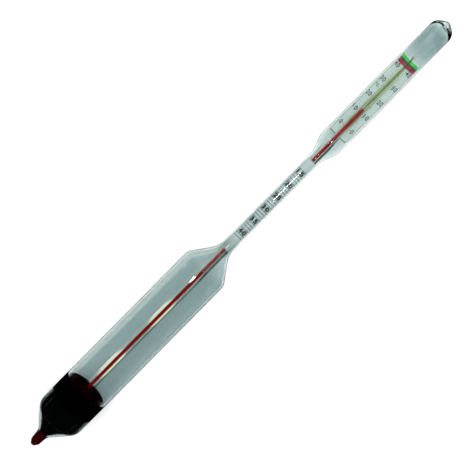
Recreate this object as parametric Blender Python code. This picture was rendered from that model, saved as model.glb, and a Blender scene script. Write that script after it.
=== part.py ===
"""A glass hydrometer with a spirit thermometer inside it, lying on its side.

The instrument's axis runs along +X, from the thermometer bulb at the lower tip to the
domed head. It rests on the side of its float body, so Z = 0 is the table, and the
origin is on the table under the middle of its length. Sizes below are in millimetres,
and "station" is the distance along the axis from the tip of the bulb.
"""

import math

import bmesh
import bpy
from mathutils import Matrix, Vector

MM = 0.001

# Driving dimensions
LENGTH = 290.0
BODY_RADIUS = 12.45
STEM_RADIUS = 3.25
HEAD_RADIUS = 6.45
TIP_RADIUS = 2.98
BODY_WALL = 1.27
STEM_WALL = 0.6
HEAD_WALL = 0.85

# Stations of the envelope's shapes
BULB_JOINT = 7.7
LOWER_CONE = (7.8, 19.1)
SHOULDER = (120.9, 133.4)
STEM_START = 137.6
STEM_END = 193.0
HEAD_TAPER = (197.5, 206.5)
DOME_CORNER = 285.9
DOME_TIP = 289.3
DOME_HOLLOW = (283.0, 285.8, 286.3)

# Thermometer
CAPILLARY_RADIUS = 2.15
BORE_RADIUS = 0.7
THREAD_RADIUS = 0.55
BULB_WALL = 0.6
BULB_NECK = (29.5, 33.0, 34.7)
CAPILLARY_END = 267.2
BORE_END = 262.6
ZERO_DEGREES = 219.5
FORTY_DEGREES = 259.1
READING = 10.9
FEED_END = 137.0
ENAMEL_WIDTH = 0.9
ENAMEL_DEPTH = (1.0, 1.9)
ENAMEL_SPAN = (38.5, 262.0)

# Papers
DENSITY_PAPER = (134.2, 194.4)
DENSITY_PAPER_RADIUS = 2.54
DENSITY_PAPER_HALF_ANGLE = 174.0
TEMPERATURE_PAPER = (212.4, 265.6)
TEMPERATURE_PAPER_RADIUS = 8.0
TEMPERATURE_PAPER_DEPTH = 3.75
TEMPERATURE_PAPER_HALF_ANGLE = 40.0
PAPER_THICKNESS = 0.15
RED_BAND = (260.5, 263.1)
GREEN_BAND = (263.3, 265.2)
BAND_HALF_ANGLE = 38.0

# Ballast
PITCH_GAP = 0.4
PITCH_TOP = 27.6
WAX_TOP = 37.8
POCKET_WALL = 1.2
POCKET_TOP = 25.8
SHOT_RADIUS = 2.05
SHOT_RINGS = ((23.6, 7.4, 11), (19.45, 6.4, 9))

GAP = 0.1
ROUND_SIDES = 32
SMALL_SIDES = 16
FINE_SIDES = 12
ARC_STEP_DEGREES = 13.0

# The body rests on one of its flat sides
AXIS_HEIGHT = BODY_RADIUS * math.cos(math.pi / ROUND_SIDES)


def clear_scene():
    for obj in list(bpy.data.objects):
        bpy.data.objects.remove(obj)


def material(name, colour, roughness, metallic=0.0, transmission=0.0):
    made = bpy.data.materials.new(name)
    made.use_nodes = True
    shader = made.node_tree.nodes["Principled BSDF"]
    shader.inputs["Base Color"].default_value = (*colour, 1.0)
    shader.inputs["Roughness"].default_value = roughness
    shader.inputs["Metallic"].default_value = metallic
    shader.inputs["Transmission Weight"].default_value = transmission
    return made


def rounded(corners):
    """The outline through (station, radius, fillet) corners, with an arc at each fillet."""
    points = []
    for i, (station, radius, fillet) in enumerate(corners):
        here = Vector((station, radius))
        if fillet == 0 or i in (0, len(corners) - 1):
            points.append(here)
            continue
        back = (Vector(corners[i - 1][:2]) - here).normalized()
        ahead = (Vector(corners[i + 1][:2]) - here).normalized()
        half = back.angle(ahead) / 2
        centre = here + (back + ahead).normalized() * fillet / math.sin(half)
        start = here + back * fillet / math.tan(half) - centre
        turn = start.angle_signed(here + ahead * fillet / math.tan(half) - centre)
        steps = max(1, math.ceil(abs(math.degrees(turn)) / ARC_STEP_DEGREES))
        for step in range(steps + 1):
            points.append(centre + Matrix.Rotation(-turn * step / steps, 2) @ start)
    return points


def new_object(name, bm, look, parent):
    bmesh.ops.recalc_face_normals(bm, faces=bm.faces)
    mesh = bpy.data.meshes.new(name)
    bm.to_mesh(mesh)
    bm.free()
    mesh.shade_smooth()
    mesh.set_sharp_from_angle(angle=math.radians(35))
    mesh.materials.append(look)
    obj = bpy.data.objects.new(name, mesh)
    bpy.context.scene.collection.objects.link(obj)
    obj.parent = parent
    return obj


def outline_wire(bm, outline, start_angle, closed):
    """The outline as a chain of edges, turned about the axis by start_angle from straight up."""
    turn = Matrix.Rotation(start_angle, 3, "X")
    verts = [bm.verts.new(turn @ Vector((p[0], 0, p[1])) * MM) for p in outline]
    edges = [bm.edges.new(pair) for pair in zip(verts, verts[1:])]
    if closed:
        edges.append(bm.edges.new((verts[-1], verts[0])))
    return verts + edges


def turned(name, outline, sides, look, parent):
    """A solid of revolution about X. An outline that starts and ends on the axis stays open there."""
    bm = bmesh.new()
    on_axis = outline[0][1] == 0 and outline[-1][1] == 0
    # Half a side's turn puts a flat side straight down
    wire = outline_wire(bm, outline, math.pi / sides, not on_axis)
    bmesh.ops.spin(bm, geom=wire, cent=(0, 0, 0), axis=(1, 0, 0),
                   angle=math.tau, steps=sides, use_merge=True)
    bmesh.ops.remove_doubles(bm, verts=bm.verts, dist=1e-7)
    return new_object(name, bm, look, parent)


def rolled(name, radius, depth, span, half_angle, sides, look, parent):
    """A sheet of paper bowed to radius, its back at depth below the axis, and open at the top."""
    bm = bmesh.new()
    half = math.radians(half_angle)
    front = radius - PAPER_THICKNESS
    section = [(span[0], radius), (span[1], radius), (span[1], front), (span[0], front)]
    wire = outline_wire(bm, section, math.pi - half, True)
    bmesh.ops.spin(bm, geom=wire, cent=(0, 0, 0), axis=(1, 0, 0), angle=2 * half, steps=sides)
    open_edges = [edge for edge in bm.edges if edge.is_boundary]
    bmesh.ops.holes_fill(bm, edges=open_edges, sides=0)
    bmesh.ops.translate(bm, verts=bm.verts, vec=(0, 0, (radius - depth) * MM))
    return new_object(name, bm, look, parent)


def bar(name, span, width, below, look, parent):
    """A straight bar under the axis, from below[0] to below[1] beneath it."""
    bm = bmesh.new()
    size = Vector((span[1] - span[0], width, below[1] - below[0]))
    centre = Vector((sum(span) / 2, 0, -sum(below) / 2))
    bmesh.ops.create_cube(bm, size=1, matrix=Matrix.Translation(centre * MM)
                          @ Matrix.Diagonal((*size * MM, 1)))
    return new_object(name, bm, look, parent)


def cone_line(start, slope, offset):
    """The radius, as a function of the station, on a cone's wall taken in by offset."""
    base_station, base_radius = start
    drop = offset * math.hypot(1, slope)
    return lambda station: base_radius + slope * (station - base_station) - drop


def station_at(line, radius, near):
    """The station where a straight wall line reaches radius."""
    slope = line(near + 1) - line(near)
    return near + (radius - line(near)) / slope


LOWER_SLOPE = (BODY_RADIUS - TIP_RADIUS - 0.2) / (LOWER_CONE[1] - LOWER_CONE[0])
SHOULDER_SLOPE = (STEM_RADIUS - BODY_RADIUS) / (SHOULDER[1] - SHOULDER[0])
TAPER_SLOPE = (HEAD_RADIUS - STEM_RADIUS) / (HEAD_TAPER[1] - HEAD_TAPER[0])


def lower_cone(offset):
    return cone_line((LOWER_CONE[1], BODY_RADIUS), LOWER_SLOPE, offset)


def body_glass(look, parent):
    """The float body: lower cone, cylinder and shoulder, open at both ends."""
    inner = BODY_RADIUS - BODY_WALL
    collar = TIP_RADIUS + GAP
    stem_inner = STEM_RADIUS - STEM_WALL
    cone = lower_cone(BODY_WALL)
    shoulder = cone_line((SHOULDER[0], BODY_RADIUS), SHOULDER_SLOPE, BODY_WALL)
    outer = rounded([
        (BULB_JOINT, collar + 0.25, 0),
        (LOWER_CONE[0] + 0.4, collar + 0.45, 3.0),
        (LOWER_CONE[1], BODY_RADIUS, 7.0),
        (SHOULDER[0], BODY_RADIUS, 6.0),
        (SHOULDER[1], STEM_RADIUS, 13.0),
        (STEM_START, STEM_RADIUS, 0),
    ])
    hollow = rounded([
        (STEM_START, stem_inner, 0),
        (station_at(shoulder, stem_inner, SHOULDER[0]), stem_inner, 12.0),
        (station_at(shoulder, inner, SHOULDER[0]), inner, 5.0),
        (station_at(cone, inner, LOWER_CONE[1]), inner, 6.0),
        (station_at(cone, collar, LOWER_CONE[0]), collar, 1.0),
        (BULB_JOINT, collar, 0),
    ])
    return turned("body_glass", outer + hollow, ROUND_SIDES, look, parent)


def stem_glass(look, parent):
    """The plain tube that carries the density scale, fused between body and head."""
    start, end = STEM_START + GAP, STEM_END - GAP
    inner = STEM_RADIUS - STEM_WALL
    outline = [(start, STEM_RADIUS), (end, STEM_RADIUS), (end, inner), (start, inner)]
    return turned("stem_glass", outline, ROUND_SIDES, look, parent)


def head_glass(look, parent):
    """The thermometer housing: taper, cylinder and thick domed end, open at the stem."""
    inner = HEAD_RADIUS - HEAD_WALL
    stem_inner = STEM_RADIUS - STEM_WALL
    taper = cone_line((HEAD_TAPER[0], STEM_RADIUS), TAPER_SLOPE, HEAD_WALL)
    outer = rounded([
        (STEM_END, STEM_RADIUS, 0),
        (HEAD_TAPER[0], STEM_RADIUS, 12.0),
        (HEAD_TAPER[1], HEAD_RADIUS, 8.0),
        (DOME_CORNER, HEAD_RADIUS, 5.0),
        (DOME_TIP, 1.5, 2.0),
        (LENGTH, 0, 0),
    ])
    hollow = rounded([
        (DOME_HOLLOW[2], 0, 0),
        (DOME_HOLLOW[1], 1.6, 1.5),
        (DOME_HOLLOW[0], inner, 4.0),
        (station_at(taper, inner, HEAD_TAPER[0]), inner, 7.0),
        (station_at(taper, stem_inner, HEAD_TAPER[0]), stem_inner, 11.0),
        (STEM_END, stem_inner, 0),
    ])
    # From the tip of the dome round by the open end to the end of the hollow
    outline = outer[::-1] + hollow[::-1]
    return turned("head_glass", outline, ROUND_SIDES, look, parent)


def bulb_outline(inset):
    """The reservoir's outline from its end on the axis to its neck, taken in by inset."""
    neck_outer = CAPILLARY_RADIUS if inset == 0 else BORE_RADIUS - (inset - BULB_WALL) * 1.5
    return rounded([
        (inset, 0, 0),
        (inset, TIP_RADIUS - 0.2 - inset, 2.3 - inset),
        (BULB_JOINT, TIP_RADIUS - inset, 0),
        (BULB_NECK[0], TIP_RADIUS - inset, 1.5),
        (BULB_NECK[1], neck_outer, 1.0),
        (BULB_NECK[2], neck_outer, 0),
    ])


def thermometer_bulb(look, parent):
    """The glass reservoir, whose end shows below the float body as its red tip."""
    outline = bulb_outline(0) + bulb_outline(BULB_WALL)[::-1]
    return turned("thermometer_bulb", outline, 24, look, parent)


def spirit_fill(look, parent):
    """The spirit in the reservoir, with the lower part of its thread up into the stem."""
    reservoir = bulb_outline(BULB_WALL + GAP)
    outline = reservoir + [(FEED_END, THREAD_RADIUS), (FEED_END, 0)]
    return turned("spirit_reservoir", outline, SMALL_SIDES, look, parent)


def spirit_thread(look, parent):
    """The part of the thread whose end gives the reading, free to slide in the bore."""
    degree = (FORTY_DEGREES - ZERO_DEGREES) / 40
    top = ZERO_DEGREES + READING * degree
    bottom = FEED_END + READING * degree + 0.5
    outline = [(bottom, 0), (bottom, THREAD_RADIUS), (top - 0.15, THREAD_RADIUS),
               (top, THREAD_RADIUS * 0.6), (top, 0)]
    return turned("spirit_thread", outline, FINE_SIDES, look, parent)


def capillary(look, parent):
    """The thick-walled capillary, with a drawn-out tail and a groove for its enamel back."""
    start = BULB_NECK[2] + GAP
    outer = rounded([
        (start, CAPILLARY_RADIUS, 0),
        (BORE_END + 1.0, CAPILLARY_RADIUS, 1.5),
        (BORE_END + 2.4, 0.6, 0.8),
        (CAPILLARY_END, 0.45, 0),
    ])
    outline = [Vector((CAPILLARY_END, 0))] + outer[::-1] + [
        Vector((start, BORE_RADIUS)), Vector((BORE_END, BORE_RADIUS)), Vector((BORE_END + 0.6, 0))]
    tube = turned("capillary_tube", outline, SMALL_SIDES, look, parent)
    groove = bar("groove_cutter", (ENAMEL_SPAN[0] - GAP, ENAMEL_SPAN[1] + GAP),
                 ENAMEL_WIDTH + 2 * GAP, (ENAMEL_DEPTH[0] - GAP, CAPILLARY_RADIUS + 1.0), look, parent)
    groove.hide_render = True
    groove.display_type = "WIRE"
    cut = tube.modifiers.new("groove", "BOOLEAN")
    cut.operation = "DIFFERENCE"
    cut.object = groove
    return tube


def ballast_pitch(look, parent):
    """Black pitch round the reservoir. Its ring-shaped pocket, open to the reservoir, holds the shot."""
    hole = TIP_RADIUS + 2 * GAP
    outer_radius = BODY_RADIUS - BODY_WALL - PITCH_GAP
    pocket_radius = outer_radius - POCKET_WALL
    cone = lower_cone(BODY_WALL + PITCH_GAP)
    pocket_cone = lower_cone(BODY_WALL + PITCH_GAP + POCKET_WALL)
    outer = rounded([
        (station_at(cone, hole, LOWER_CONE[0]), hole, 0),
        (station_at(cone, outer_radius, LOWER_CONE[1]), outer_radius, 6.0),
        (PITCH_TOP, outer_radius, 0),
        (PITCH_TOP, hole, 0),
    ])
    pocket = rounded([
        (POCKET_TOP, hole, 0),
        (POCKET_TOP, pocket_radius, 0.6),
        (station_at(pocket_cone, pocket_radius, LOWER_CONE[1]), pocket_radius, 2.0),
        (station_at(pocket_cone, hole, LOWER_CONE[0]), hole, 0),
    ])
    return turned("ballast_pitch", outer + pocket, ROUND_SIDES, look, parent)


def sealing_wax(look, parent):
    """The dark red plug that holds the ballast in, wetted to the glass wall."""
    radius = BODY_RADIUS - BODY_WALL - GAP
    wide, narrow = TIP_RADIUS + 2 * GAP, CAPILLARY_RADIUS + 2 * GAP
    outline = [
        (PITCH_TOP + GAP, wide), (PITCH_TOP + GAP, radius), (WAX_TOP, radius),
        (WAX_TOP, narrow), (BULB_NECK[1] + 0.3, narrow), (BULB_NECK[0] + 0.3, wide),
    ]
    return turned("sealing_wax", outline, ROUND_SIDES, look, parent)


def ballast_shot(look, parent):
    """Cast shot in rings round the reservoir. Every pellet shares one mesh."""
    bm = bmesh.new()
    bmesh.ops.create_icosphere(bm, subdivisions=2, radius=SHOT_RADIUS * MM)
    first = new_object("ballast_shot_01", bm, look, parent)
    number = 0
    for ring, (station, ring_radius, count) in enumerate(SHOT_RINGS):
        for i in range(count):
            number += 1
            pellet = first
            if number > 1:
                pellet = bpy.data.objects.new(f"ballast_shot_{number:02d}", first.data)
                bpy.context.scene.collection.objects.link(pellet)
                pellet.parent = parent
            angle = math.tau * (i + ring / 2) / count
            place = (station, ring_radius * math.cos(angle), ring_radius * math.sin(angle))
            pellet.location = Vector(place) * MM


def build():
    clear_scene()
    clear_glass = material("clear_glass", (0.78, 0.86, 0.84), 0.02, transmission=1.0)
    red_spirit = material("red_spirit", (0.32, 0.005, 0.005), 0.15)
    paper = material("scale_paper", (0.74, 0.80, 0.76), 0.7)
    enamel = material("yellow_enamel", (0.62, 0.62, 0.22), 0.3)
    red_paint = material("red_band_paint", (0.55, 0.01, 0.08), 0.5)
    green_paint = material("green_band_paint", (0.05, 0.55, 0.09), 0.5)
    pitch = material("black_pitch", (0.006, 0.007, 0.007), 0.35)
    wax = material("dark_red_wax", (0.03, 0.003, 0.002), 0.3)
    iron = material("cast_shot", (0.12, 0.12, 0.12), 0.45, metallic=1.0)

    axis = bpy.data.objects.new("instrument_axis", None)
    axis.location = (-LENGTH / 2 * MM, 0, AXIS_HEIGHT * MM)
    bpy.context.scene.collection.objects.link(axis)

    body_glass(clear_glass, axis)
    stem_glass(clear_glass, axis)
    head_glass(clear_glass, axis)
    thermometer_bulb(clear_glass, axis)
    capillary(clear_glass, axis)
    bar("enamel_backing", ENAMEL_SPAN, ENAMEL_WIDTH, ENAMEL_DEPTH, enamel, axis)
    spirit_fill(red_spirit, axis)
    spirit_thread(red_spirit, axis)
    rolled("density_scale", DENSITY_PAPER_RADIUS, DENSITY_PAPER_RADIUS, DENSITY_PAPER,
           DENSITY_PAPER_HALF_ANGLE, 28, paper, axis)
    rolled("temperature_scale", TEMPERATURE_PAPER_RADIUS, TEMPERATURE_PAPER_DEPTH, TEMPERATURE_PAPER,
           TEMPERATURE_PAPER_HALF_ANGLE, 12, paper, axis)
    lift = PAPER_THICKNESS + GAP
    for name, span, look in (("red_band", RED_BAND, red_paint), ("green_band", GREEN_BAND, green_paint)):
        rolled(name, TEMPERATURE_PAPER_RADIUS - lift, TEMPERATURE_PAPER_DEPTH - lift, span,
               BAND_HALF_ANGLE, 12, look, axis)
    ballast_pitch(pitch, axis)
    sealing_wax(wax, axis)
    ballast_shot(iron, axis)


build()
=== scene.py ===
import math

import bpy
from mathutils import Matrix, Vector


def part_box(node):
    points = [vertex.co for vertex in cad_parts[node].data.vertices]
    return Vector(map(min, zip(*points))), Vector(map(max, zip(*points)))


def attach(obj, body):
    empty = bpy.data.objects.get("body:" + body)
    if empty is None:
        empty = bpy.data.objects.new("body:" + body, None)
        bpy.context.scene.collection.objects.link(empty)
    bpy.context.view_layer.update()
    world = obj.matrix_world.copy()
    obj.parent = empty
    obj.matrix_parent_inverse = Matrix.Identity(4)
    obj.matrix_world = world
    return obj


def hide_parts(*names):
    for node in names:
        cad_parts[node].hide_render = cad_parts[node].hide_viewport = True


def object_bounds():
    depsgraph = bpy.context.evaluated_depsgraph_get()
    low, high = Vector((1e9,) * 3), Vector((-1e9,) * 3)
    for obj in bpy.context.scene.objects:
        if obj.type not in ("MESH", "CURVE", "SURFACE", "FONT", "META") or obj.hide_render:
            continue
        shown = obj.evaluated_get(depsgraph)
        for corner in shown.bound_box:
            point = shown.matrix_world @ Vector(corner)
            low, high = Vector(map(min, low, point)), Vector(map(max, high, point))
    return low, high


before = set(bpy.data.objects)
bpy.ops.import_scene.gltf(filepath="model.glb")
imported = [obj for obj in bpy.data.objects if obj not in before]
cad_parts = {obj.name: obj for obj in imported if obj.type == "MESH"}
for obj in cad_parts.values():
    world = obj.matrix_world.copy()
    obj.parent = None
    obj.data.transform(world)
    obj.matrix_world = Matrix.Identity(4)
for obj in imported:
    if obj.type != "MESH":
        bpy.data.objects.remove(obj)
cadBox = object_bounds()
print("packed parts:", len(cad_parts))

mm = 0.001
tipX = cadBox[0][0]
stemLow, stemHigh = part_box("stem_glass")
axisZ = (stemLow.z + stemHigh.z) / 2


def at(station):
    # stations are millimetres along the axis from the tip of the bulb
    return tipX + station * mm


def shareOf(station, zone):
    # how far along a zone a station lies, from none to all of it
    return max(0.0, min(1.0, (station - zone[0]) / (zone[1] - zone[0])))


def blend(first, second, share):
    return first + (second - first) * share


def stationOf(x):
    return (x - tipX) / mm


def endsOf(node):
    low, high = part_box(node)
    return stationOf(low.x), stationOf(high.x)


def leaveSelection():
    if bpy.context.object and bpy.context.object.mode != "OBJECT":
        bpy.ops.object.mode_set(mode="OBJECT")
    bpy.ops.object.select_all(action="DESELECT")


# modelling helpers

def easeCorners(corners, arcStep=5.0):
    # corners are (station, radius, fillet); each fillet becomes an arc
    points = []
    for i, (station, radius, fillet) in enumerate(corners):
        if fillet == 0 or i in (0, len(corners) - 1):
            points.append((station, radius))
            continue
        backX, backR = corners[i - 1][0] - station, corners[i - 1][1] - radius
        aheadX, aheadR = corners[i + 1][0] - station, corners[i + 1][1] - radius
        backLength, aheadLength = math.hypot(backX, backR), math.hypot(aheadX, aheadR)
        backX, backR = backX / backLength, backR / backLength
        aheadX, aheadR = aheadX / aheadLength, aheadR / aheadLength
        half = math.acos(max(-1.0, min(1.0, backX * aheadX + backR * aheadR))) / 2
        reach = fillet / math.tan(half)
        midX, midR = backX + aheadX, backR + aheadR
        midLength = math.hypot(midX, midR)
        centreX = station + midX / midLength * fillet / math.sin(half)
        centreR = radius + midR / midLength * fillet / math.sin(half)
        startAngle = math.atan2(radius + backR * reach - centreR, station + backX * reach - centreX)
        endAngle = math.atan2(radius + aheadR * reach - centreR, station + aheadX * reach - centreX)
        turn = (endAngle - startAngle + math.pi) % math.tau - math.pi
        steps = max(2, math.ceil(abs(math.degrees(turn)) / arcStep))
        for step in range(steps + 1):
            angle = startAngle + turn * step / steps
            points.append((centreX + fillet * math.cos(angle), centreR + fillet * math.sin(angle)))
    return points


def splitRuns(outline, longest):
    # long straight runs get rings in between, so that they can be shaped later
    points = [outline[0]]
    for (s0, r0), (s1, r1) in zip(outline, outline[1:]):
        pieces = max(1, math.ceil(math.hypot(s1 - s0, r1 - r0) / longest))
        for step in range(1, pieces + 1):
            share = step / pieces
            points.append((s0 + (s1 - s0) * share, r0 + (r1 - r0) * share))
    return points


poleRadius = 0.004   # rings shrink to this before a pole is merged


def pullRings(name, outline, sides):
    # a circle is drawn, then pulled along the axis and scaled, ring by ring
    leaveSelection()
    rings = [(station, max(radius, poleRadius)) for station, radius in outline]
    bpy.ops.mesh.primitive_circle_add(
        vertices=sides, radius=rings[0][1] * mm, location=(at(rings[0][0]), 0, axisZ),
        rotation=(0, math.pi / 2, 0))
    piece = bpy.context.object
    piece.name = name
    bpy.ops.object.mode_set(mode="EDIT")
    bpy.ops.mesh.select_mode(type="EDGE")
    bpy.ops.mesh.select_all(action="SELECT")
    for (s0, r0), (s1, r1) in zip(rings, rings[1:]):
        bpy.ops.mesh.extrude_edges_move(TRANSFORM_OT_translate={"value": ((s1 - s0) * mm, 0, 0)})
        bpy.ops.transform.resize(value=(r1 / r0,) * 3, center_override=(at(s1), 0, axisZ))
    if outline[-1][1] == 0:
        bpy.ops.mesh.merge(type="CENTER")
    bpy.ops.mesh.select_all(action="DESELECT")
    bpy.ops.mesh.select_non_manifold(extend=False, use_wire=False, use_multi_face=False,
                                     use_non_contiguous=False, use_verts=False)
    if outline[0][1] == 0:
        bpy.ops.mesh.merge(type="CENTER")
    elif outline[-1][1] != 0:
        bpy.ops.mesh.bridge_edge_loops()
    return piece


weldReach = 1e-7


def finishPiece(piece, look, body, *nodes, sharp=40.0):
    # normals out, place into the mesh, smooth, material, and on to its body and nodes
    if bpy.context.object.mode != "EDIT":
        leaveSelection()
        bpy.context.view_layer.objects.active = piece
        piece.select_set(True)
        bpy.ops.object.mode_set(mode="EDIT")
    bpy.ops.mesh.select_all(action="SELECT")
    bpy.ops.mesh.remove_doubles(threshold=weldReach)
    bpy.ops.mesh.normals_make_consistent(inside=False)
    bpy.ops.object.mode_set(mode="OBJECT")
    bpy.ops.object.transform_apply(location=True, rotation=True, scale=True)
    bpy.ops.object.shade_smooth_by_angle(angle=math.radians(sharp))
    piece.data.materials.clear()
    piece.data.materials.append(look)
    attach(piece, body)
    if nodes:
        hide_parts(*nodes)
    return piece


def thicken(piece, thickness, offset):
    wall = piece.modifiers.new("wall", "SOLIDIFY")
    wall.thickness = thickness * mm
    wall.offset = offset
    bpy.context.view_layer.objects.active = piece
    bpy.ops.object.modifier_apply(modifier=wall.name)


def joinPieces(pieces, name):
    leaveSelection()
    for piece in pieces:
        piece.select_set(True)
    bpy.context.view_layer.objects.active = pieces[0]
    if len(pieces) > 1:
        bpy.ops.object.join()
    joined = bpy.context.object
    joined.name = name
    return joined


# camera

cameraSet = {
    "height": 0.34,         # above the instrument's axis
    "frameWidth": 0.2304,   # what the view spans across at the axis
    "turn": 45.3,           # how steeply the instrument runs up the view
    "middle": 145.0,        # the station under the view's centre, before the slide
    "slideRight": -0.00245,
    "slideUp": -0.00098,
    "filmWidth": 36.0,
    "nearest": 0.01,        # anything closer isn't drawn
}


def placeCamera(values):
    turn = math.radians(-values["turn"])
    rightX, rightY = math.cos(turn), math.sin(turn)
    x = at(values["middle"]) + values["slideRight"] * rightX - values["slideUp"] * rightY
    y = values["slideRight"] * rightY + values["slideUp"] * rightX
    bpy.ops.object.camera_add(location=(x, y, axisZ + values["height"]), rotation=(0, 0, turn))
    camera = bpy.context.object
    camera.name = "camera"
    camera.data.sensor_width = values["filmWidth"]
    camera.data.lens = values["filmWidth"] * values["height"] / values["frameWidth"]
    camera.data.clip_start = values["nearest"]
    bpy.context.scene.camera = camera


leaveSelection()
placeCamera(cameraSet)
print("camera placed")

# shared effects

effectOutputs = (("Color", "Color"), ("Roughness", "Float"), ("Height", "Float"))


def newGroup(name, inputs):
    group = bpy.data.node_groups.new(name, "ShaderNodeTree")
    for label, kind, value in inputs:
        socket = group.interface.new_socket(label, in_out="INPUT", socket_type="NodeSocket" + kind)
        socket.default_value = value
    for label, kind in effectOutputs:
        group.interface.new_socket(label, in_out="OUTPUT", socket_type="NodeSocket" + kind)
    return group, group.nodes.new("NodeGroupInput").outputs


def closeGroup(group, *sources):
    leave = group.nodes.new("NodeGroupOutput")
    for (label, kind), source in zip(effectOutputs, sources):
        group.links.new(source, leave.inputs[label])
    return group


def addNode(tree, kind, **values):
    node = tree.nodes.new("ShaderNode" + kind)
    for key, value in values.items():
        setattr(node, key, value)
    return node


def feed(tree, source, target):
    # source is a socket, or a plain value for the socket; a colour gets its alpha here
    if hasattr(source, "is_output"):
        tree.links.new(source, target)
    elif isinstance(source, tuple) and len(source) == 3:
        target.default_value = (*source, 1)
    else:
        target.default_value = source


def mathNode(tree, operation, first, second=0.0, clamp=False):
    node = addNode(tree, "Math", operation=operation, use_clamp=clamp)
    feed(tree, first, node.inputs[0])
    feed(tree, second, node.inputs[1])
    return node.outputs[0]


def sumSquares(tree, first, second):
    return mathNode(tree, "ADD", mathNode(tree, "MULTIPLY", first, first),
                    mathNode(tree, "MULTIPLY", second, second))


def mapRange(tree, value, low, high, first=0.0, last=1.0):
    # low to high becomes first to last, and stays between them
    node = addNode(tree, "MapRange")
    for label, source in (("Value", value), ("From Min", low), ("From Max", high),
                          ("To Min", first), ("To Max", last)):
        feed(tree, source, node.inputs[label])
    return node.outputs["Result"]


def mixColours(tree, factor, first, second, blendType="MIX"):
    node = addNode(tree, "Mix", data_type="RGBA", blend_type=blendType)
    feed(tree, factor, node.inputs[0])
    feed(tree, first, node.inputs[6])
    feed(tree, second, node.inputs[7])
    return node.outputs[2]


def greyOf(tree, value):
    grey = addNode(tree, "CombineColor")
    for channel in range(3):
        tree.links.new(value, grey.inputs[channel])
    return grey.outputs[0]


def rampColours(tree, value, stops):
    # stops are (share, colour) pairs in order
    ramp = addNode(tree, "ValToRGB")
    tree.links.new(value, ramp.inputs["Fac"])
    while len(ramp.color_ramp.elements) < len(stops):
        ramp.color_ramp.elements.new(0.5)
    for stop, (share, colour) in zip(ramp.color_ramp.elements, stops):
        stop.position = share
        stop.color = (*colour, 1)
    return ramp.outputs["Color"]


def mappedPlace(tree, location, scale):
    place = addNode(tree, "TexCoord")
    mapping = addNode(tree, "Mapping")
    mapping.inputs["Location"].default_value = location
    mapping.inputs["Scale"].default_value = scale
    tree.links.new(place.outputs["Object"], mapping.inputs["Vector"])
    return mapping.outputs["Vector"]


def objectAxis(tree, axis):
    place = addNode(tree, "TexCoord")
    split = addNode(tree, "SeparateXYZ")
    tree.links.new(place.outputs["Object"], split.inputs[0])
    return split.outputs[axis]


def stretchedNoise(tree, scale, stretch, detail, roughness=0.5):
    # noise on Object coordinates, drawn out along the axes by stretch
    noise = addNode(tree, "TexNoise")
    feed(tree, scale, noise.inputs["Scale"])
    noise.inputs["Detail"].default_value = detail
    noise.inputs["Roughness"].default_value = roughness
    tree.links.new(mappedPlace(tree, (0.0, 0.0, 0.0), stretch), noise.inputs["Vector"])
    return noise.outputs["Fac"]


def makeDrawnGlassGroup():
    # faint streaks along the draw of the tube, and wiped smears
    group, entry = newGroup(
        "drawnGlass",
        (("Tint", "Color", (1, 1, 1, 1)), ("Streaks", "Float", 0.05), ("Smears", "Float", 0.02)))
    streak = stretchedNoise(group, 900.0, (0.03, 1.0, 1.0), 3.0)
    centred = mathNode(group, "SUBTRACT", streak, 0.5)
    change = mathNode(group, "MULTIPLY", centred, entry["Streaks"])
    brightness = mathNode(group, "ADD", change, 1.0)
    tinted = mixColours(group, 1.0, entry["Tint"], greyOf(group, brightness), "MULTIPLY")
    smear = stretchedNoise(group, 60.0, (0.6, 1.0, 1.0), 4.0, 0.6)
    raised = mathNode(group, "SUBTRACT", smear, 0.5, clamp=True)
    rough = mathNode(group, "MULTIPLY", raised, entry["Smears"])
    return closeGroup(group, tinted, rough, streak)


def makeMottleGroup():
    # cloudy change between two colours, with a matching height
    group, entry = newGroup(
        "mottle",
        (("Light", "Color", (1, 1, 1, 1)), ("Dark", "Color", (0, 0, 0, 1)), ("Scale", "Float", 100.0),
         ("Smooth", "Float", 0.2), ("Rough", "Float", 0.6)))
    cloud = stretchedNoise(group, entry["Scale"], (1.0, 1.0, 1.0), 5.0, 0.6)
    contrast = mapRange(group, cloud, 0.3, 0.7)
    colour = mixColours(group, contrast, entry["Dark"], entry["Light"])
    gloss = mapRange(group, contrast, 0.0, 1.0, entry["Smooth"], entry["Rough"])
    return closeGroup(group, colour, gloss, cloud)


def makeFibreGroup():
    # laid paper: fine fibres, a little yellowing in clouds
    group, entry = newGroup(
        "paperFibre",
        (("Paper", "Color", (1, 1, 1, 1)), ("Stain", "Color", (1, 1, 1, 1)), ("Fibre", "Float", 3000.0)))
    fibre = stretchedNoise(group, entry["Fibre"], (0.25, 1.0, 1.0), 4.0, 0.7)
    cloud = stretchedNoise(group, 130.0, (1.0, 1.0, 1.0), 3.0)
    stained = mixColours(group, cloud, entry["Paper"], entry["Stain"])
    shade = mapRange(group, fibre, 0.0, 1.0, 0.86, 1.08)
    colour = mixColours(group, 1.0, stained, greyOf(group, shade), "MULTIPLY")
    rough = mapRange(group, fibre, 0.0, 1.0, 0.6, 0.9)
    return closeGroup(group, colour, rough, fibre)


drawnGlass = makeDrawnGlassGroup()
mottle = makeMottleGroup()
paperFibre = makeFibreGroup()


def newLook(name):
    look = bpy.data.materials.new(name)
    look.use_nodes = True
    tree = look.node_tree
    return look, tree, tree.nodes["Principled BSDF"]


def addEffect(tree, group, **values):
    node = tree.nodes.new("ShaderNodeGroup")
    node.node_tree = group
    for label, value in values.items():
        feed(tree, value, node.inputs[label])
    return node


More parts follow.
